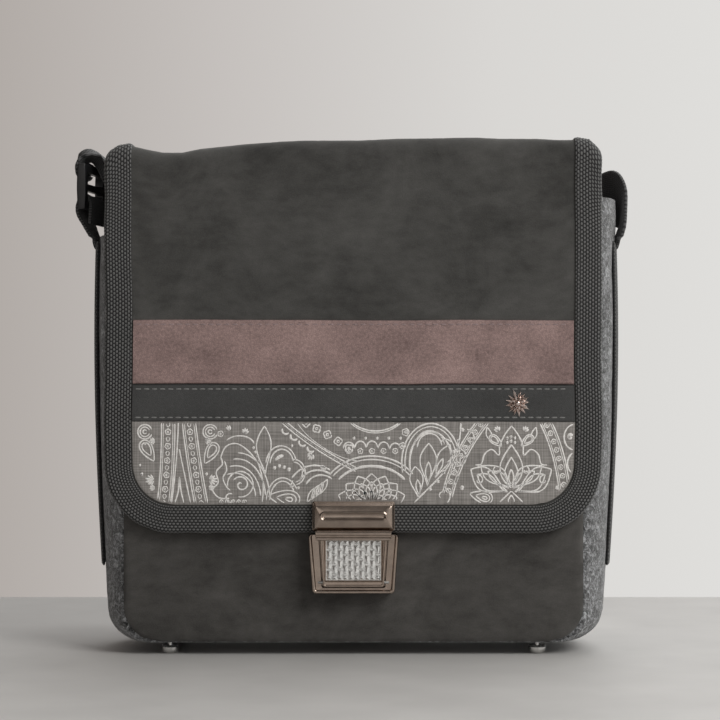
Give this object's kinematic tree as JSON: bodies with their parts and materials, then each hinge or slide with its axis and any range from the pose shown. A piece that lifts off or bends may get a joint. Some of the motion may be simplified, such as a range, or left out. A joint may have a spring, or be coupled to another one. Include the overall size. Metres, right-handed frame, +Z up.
{
  "type": "shoulder bag",
  "caption": "Small felt and suede shoulder bag with a webbing-bound flap, tuck lock, side straps joined by a hanging carry strap, and metal base feet.",
  "frame": {"origin": "on the floor under the middle of the bag's body", "axes": "+Z up, the front and its lock face -Y, +X runs to the right when the front is looked at"},
  "size_m": [0.2871, 0.1388, 0.2602],
  "materials": {
    "felt": "mottled wool felt",
    "suede": "dark grey suede, matt nap",
    "binding": "coarse woven webbing",
    "strap": "black woven webbing",
    "lining": "plain cotton twill",
    "mauve": "grained leather, soft sheen",
    "dark": "smooth leather, satin",
    "fabric": "printed linen",
    "bronze": "gunmetal plating",
    "rose": "rose silver plating",
    "nickel": "bright nickel",
    "steel": "plain steel",
    "plastic": "moulded acetal",
    "clear": "prismatic reflector",
    "board": "stiff fibre board"
  },
  "bodies": {
    "bag": {"front_panel": "suede", "back_panel": "felt", "gusset_left": "felt", "gusset_right": "felt", "base_panel": "felt", "base_board": "board", "front_lining": "lining", "back_lining": "lining", "gusset_lining": "lining", "mouth_binding": "binding", "feet": "nickel", "foot_washers": "steel", "side_webbing_left": "binding", "side_webbing_right": "binding", "flap_rear_panel": "suede", "flap_rear_binding": "binding", "lock_case": "bronze", "case_backplate": "steel", "case_rivets": "steel", "button_pin": "steel", "button_spring": "steel"},
    "flap_top": {"flap_top_panel": "suede", "flap_top_lining": "lining", "flap_top_binding": "binding"},
    "flap_front": {"flap_front_panel": "suede", "flap_front_lining": "lining", "flap_front_binding": "binding", "mauve_strip": "mauve", "dark_strip": "dark", "fabric_panel": "fabric", "flower_stud": "rose", "stud_cap": "steel", "lock_housing": "bronze", "lock_tongue": "bronze", "tongue_hook": "bronze", "housing_backplate": "steel", "housing_rivets": "steel"},
    "button": {"release_button": "bronze", "button_ledge": "bronze", "reflector": "clear"},
    "strap": {"shoulder_strap": "strap", "buckle_tab": "strap", "strap_buckle": "plastic"}
  },
  "joints": [
    {"name": "flap_hinge", "type": "hinge", "parent": "bag", "child": "flap_top", "pos_m": [0, 0.0437, 0.2567], "axis": [-1, 0, 0], "range_deg": [0, 150]},
    {"name": "flap_fold", "type": "hinge", "parent": "flap_top", "child": "flap_front", "pos_m": [0, -0.0437, 0.2567], "axis": [-1, 0, 0], "range_deg": [0, 90]},
    {"name": "button_press", "type": "hinge", "parent": "bag", "child": "button", "pos_m": [0, -0.0478, 0.0376], "axis": [-1, 0, 0], "range_deg": [0, 5], "stiffness_Nm_per_rad": 0.4, "springref_deg": -5.73, "deforming": ["button_spring"]},
    {"name": "strap_swing", "type": "hinge", "parent": "bag", "child": "strap", "pos_m": [0, 0, 0.236], "axis": [1, 0, 0], "range_deg": [0, 160]}
  ],
  "couplings": [
    {"joint": "flap_fold", "follows": "flap_hinge", "ratio": 0.6}
  ]
}
